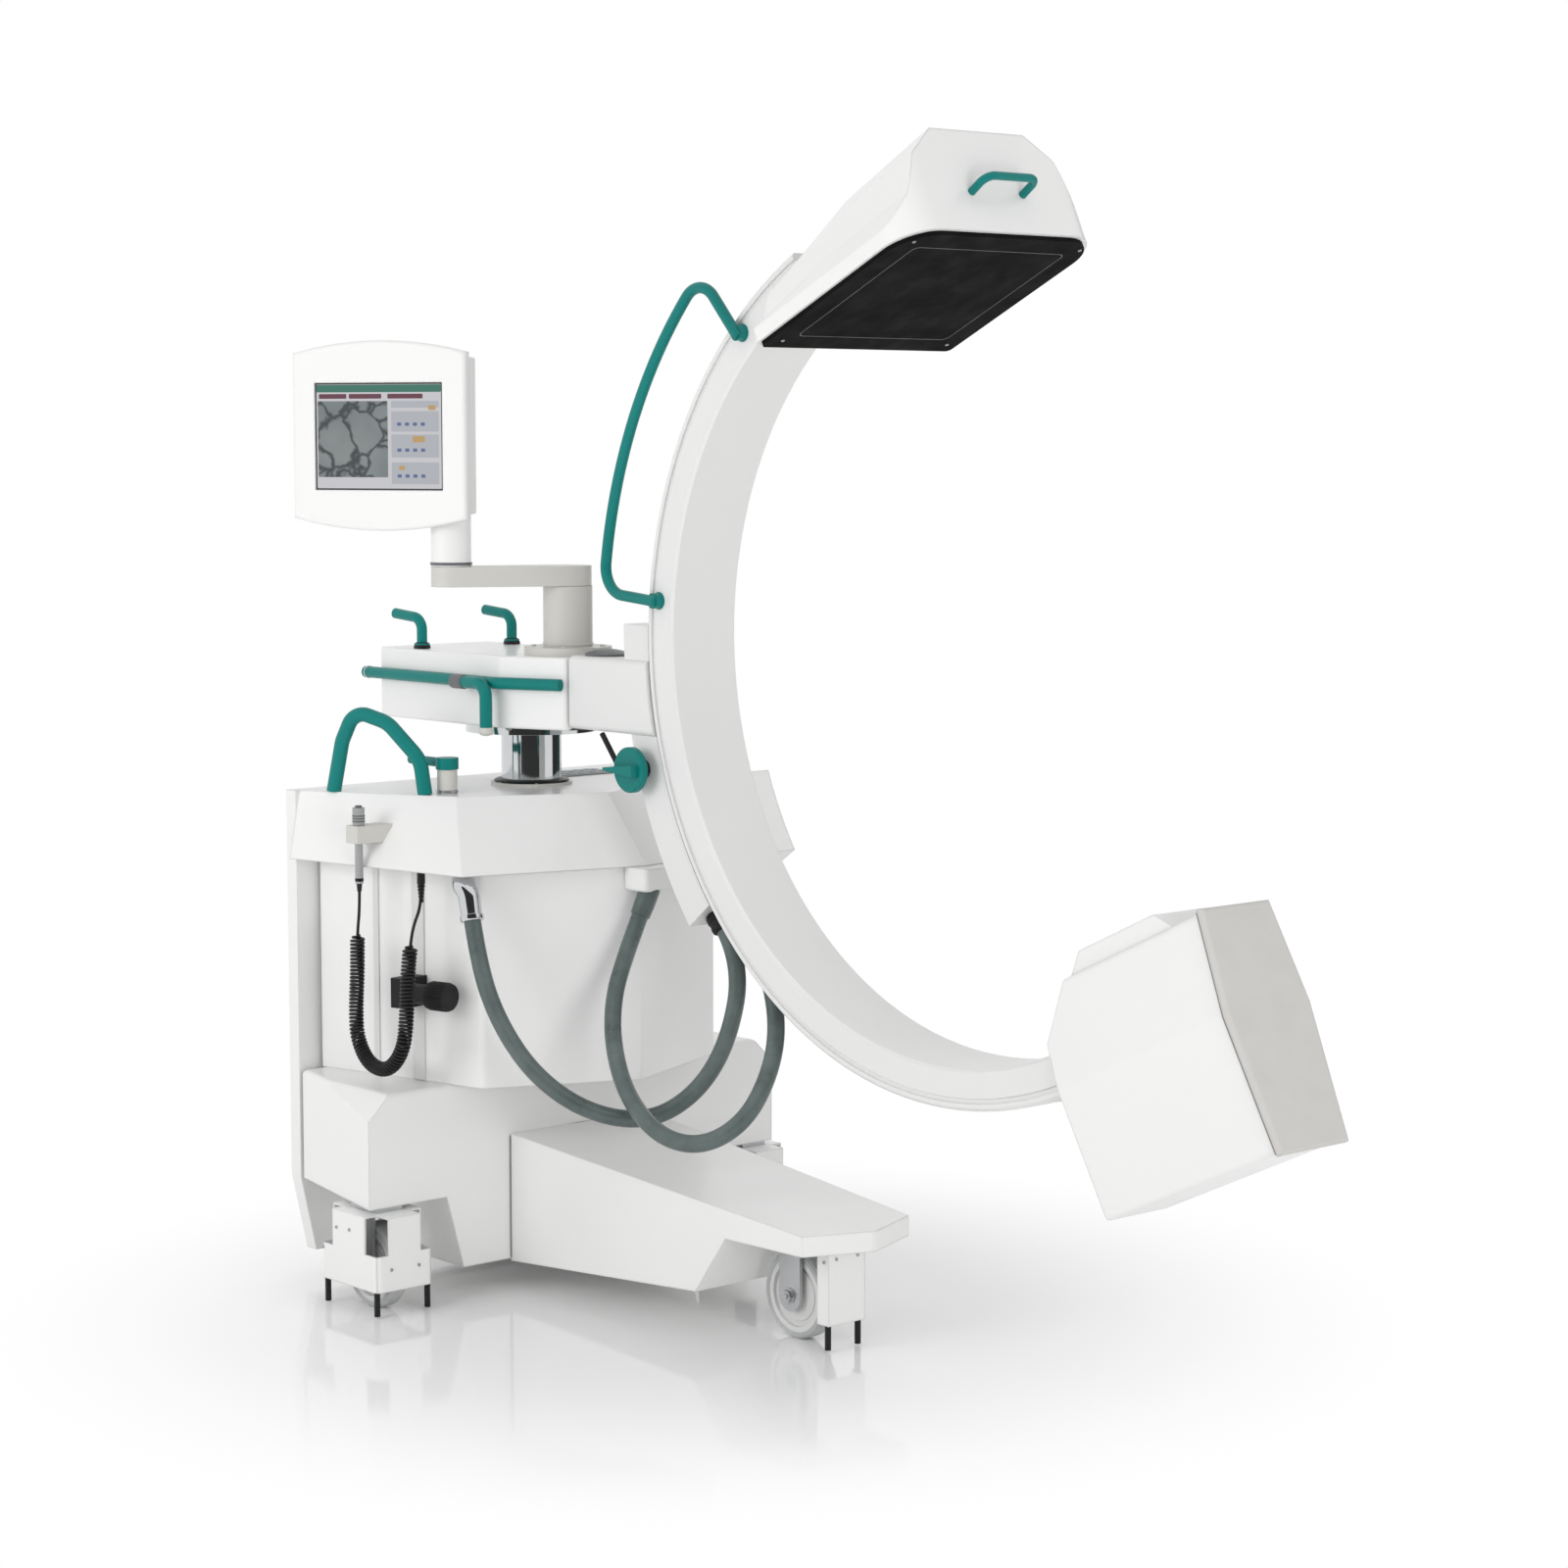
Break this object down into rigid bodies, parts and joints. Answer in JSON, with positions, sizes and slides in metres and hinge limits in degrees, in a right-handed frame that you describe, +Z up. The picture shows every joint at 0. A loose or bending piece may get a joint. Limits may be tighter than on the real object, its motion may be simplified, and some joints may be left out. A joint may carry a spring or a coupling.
{
  "type": "mobile c-arm x-ray",
  "caption": "Wheeled x-ray stand whose C-shaped arm holds a flat detector over a tube housing, with a lift column, brake levers, a swivelling monitor, hoses and a hand switch",
  "frame": {"origin": "on the floor, below the middle of the whole machine's outline seen from above", "axes": "+X towards the patient's side, along the leg; +Y to the left of someone who looks along +X; +Z up"},
  "size_m": [1.8243, 0.8, 1.6586],
  "materials": {
    "white_cover": "smooth white moulded cover",
    "white_arc": "white powder-coated extrusion",
    "white_metal": "white painted steel",
    "teal": "teal coated grip",
    "chrome": "polished",
    "steel": "machined",
    "light_metal": "light grey painted",
    "black": "fine texture",
    "dark_grey": "fine texture",
    "grey_cover": "light grey moulded cover",
    "rubber": "smooth hose",
    "black_rubber": "matt",
    "wheel": "moulded wheel",
    "tyre": "non-marking grey tread",
    "screen": "display glass"
  },
  "bodies": {
    "stand": {"base": "white_cover", "leg": "white_cover", "cabinet": "white_cover", "console": "white_cover", "rear_panel": "white_cover", "column_collar": "light_metal", "push_handle_left": "teal", "push_handle_right": "teal", "lever_post": "light_metal", "front_guard": "white_cover", "front_guard_pins": "black_rubber", "switch_holder": "light_metal", "cord_glands": "black", "parked_connector": "black", "hose_side": "rubber", "hose_front": "rubber", "switch_cord": "black_rubber"},
    "steering": {"steering_lever": "teal"},
    "caster_rear_left": {"fork_rear_left": "steel", "guard_rear_left": "white_cover", "guard_pins_rear_left": "black_rubber"},
    "caster_rear_right": {"fork_rear_right": "steel", "guard_rear_right": "white_cover", "guard_pins_rear_right": "black_rubber"},
    "caster_front": {"fork_front": "steel"},
    "wheel_body_rear_left": {"wheel_rear_left": "wheel", "tyre_rear_left": "tyre"},
    "wheel_body_rear_right": {"wheel_rear_right": "wheel", "tyre_rear_right": "tyre"},
    "wheel_body_front": {"wheel_front": "wheel", "tyre_front": "tyre"},
    "lift": {"column": "chrome"},
    "turret": {"carriage": "white_cover", "side_rails": "teal", "monitor_post": "light_metal"},
    "lever_left": {"brake_lever_left": "teal"},
    "lever_right": {"brake_lever_right": "teal"},
    "lever_side": {"side_lever": "teal"},
    "slide": {"slide_shaft": "steel"},
    "head": {"yoke": "white_arc", "head_cap": "dark_grey", "roller_carrier": "steel", "rollers": "steel", "knob_stem": "black", "bearing_glands": "black"},
    "knob": {"orbit_knob": "teal"},
    "c_body": {"c_arc": "white_arc", "c_handle": "teal", "detector_housing": "white_cover", "detector_face": "black", "detector_grip": "teal", "tube_housing": "white_cover", "tube_cover": "grey_cover", "cable_outlet": "white_cover"},
    "arm": {"monitor_arm": "light_metal"},
    "monitor": {"monitor_shell": "white_cover", "monitor_bezel": "white_cover", "screen": "screen"},
    "switch": {"hand_switch": "dark_grey"},
    "button": {"switch_button": "dark_grey"}
  },
  "joints": [
    {"name": "column_lift", "type": "slide", "parent": "stand", "child": "lift", "axis": [0, 0, 1], "range_m": [0, 0.43], "deforming": ["hose_side", "hose_front"]},
    {"name": "column_swing", "type": "hinge", "parent": "lift", "child": "turret", "pos_m": [-0.638, 0, 0.834], "axis": [0, 0, 1], "range_deg": [-10, 10]},
    {"name": "head_reach", "type": "slide", "parent": "turret", "child": "slide", "axis": [1, 0, 0], "range_m": [0, 0.2]},
    {"name": "c_angulation", "type": "hinge", "parent": "slide", "child": "head", "pos_m": [-0.463, 0, 0.892], "axis": [1, 0, 0], "range_deg": [-90, 90]},
    {"name": "c_orbit", "type": "hinge", "parent": "head", "child": "c_body", "pos_m": [0.317, 0, 0.986], "axis": [0, -1, 0], "range_deg": [-55, 14]},
    {"name": "orbit_clamp", "type": "hinge", "parent": "head", "child": "knob", "pos_m": [-0.2962, -0.075, 0.79], "axis": [0, -1, 0], "range_deg": [-90, 90]},
    {"name": "monitor_arm_swing", "type": "hinge", "parent": "turret", "child": "arm", "pos_m": [-0.545, 0, 1.06], "axis": [0, 0, 1], "range_deg": [-60, 30]},
    {"name": "monitor_swivel", "type": "hinge", "parent": "arm", "child": "monitor", "pos_m": [-0.6222, -0.1582, 1.075], "axis": [0, 0, 1], "range_deg": [-45, 45]},
    {"name": "swing_brake_turn", "type": "hinge", "parent": "turret", "child": "lever_left", "pos_m": [-0.801, 0.086, 0.942], "axis": [0, 0, 1], "range_deg": [-25, 25]},
    {"name": "reach_brake_turn", "type": "hinge", "parent": "turret", "child": "lever_right", "pos_m": [-0.801, -0.086, 0.942], "axis": [0, 0, 1], "range_deg": [-25, 25]},
    {"name": "angulation_brake_turn", "type": "hinge", "parent": "turret", "child": "lever_side", "pos_m": [-0.64, -0.134, 0.902], "axis": [0, -1, 0], "range_deg": [-20, 20]},
    {"name": "steering_turn", "type": "hinge", "parent": "stand", "child": "steering", "pos_m": [-0.599, -0.186, 0.776], "axis": [0, 0, 1], "range_deg": [-40, 40]},
    {"name": "rear_left_steer", "type": "hinge", "parent": "stand", "child": "caster_rear_left", "pos_m": [-0.557, 0.35, 0.152], "axis": [0, 0, 1], "range_deg": [-40, 40]},
    {"name": "rear_right_steer", "type": "hinge", "parent": "stand", "child": "caster_rear_right", "pos_m": [-0.557, -0.35, 0.152], "axis": [0, 0, 1], "range_deg": [-40, 40]},
    {"name": "front_swivel", "type": "hinge", "parent": "stand", "child": "caster_front", "pos_m": [-0.016, 0, 0.15], "axis": [0, 0, 1], "continuous": true},
    {"name": "rear_left_spin", "type": "hinge", "parent": "caster_rear_left", "child": "wheel_body_rear_left", "pos_m": [-0.557, 0.35, 0.0625], "axis": [0, 1, 0], "continuous": true},
    {"name": "rear_right_spin", "type": "hinge", "parent": "caster_rear_right", "child": "wheel_body_rear_right", "pos_m": [-0.557, -0.35, 0.0625], "axis": [0, 1, 0], "continuous": true},
    {"name": "front_spin", "type": "hinge", "parent": "caster_front", "child": "wheel_body_front", "pos_m": [-0.016, 0, 0.0625], "axis": [0, 1, 0], "continuous": true},
    {"name": "switch_lift", "type": "slide", "parent": "stand", "child": "switch", "axis": [0, 0, 1], "range_m": [0, 0.09], "deforming": ["switch_cord"]},
    {"name": "switch_press", "type": "slide", "parent": "switch", "child": "button", "axis": [0, 0, -1], "range_m": [0, 0.0025], "stiffness_N_per_m": 500}
  ],
  "couplings": [
    {"joint": "rear_left_steer", "follows": "steering_turn", "ratio": 1},
    {"joint": "rear_right_steer", "follows": "steering_turn", "ratio": 1}
  ]
}
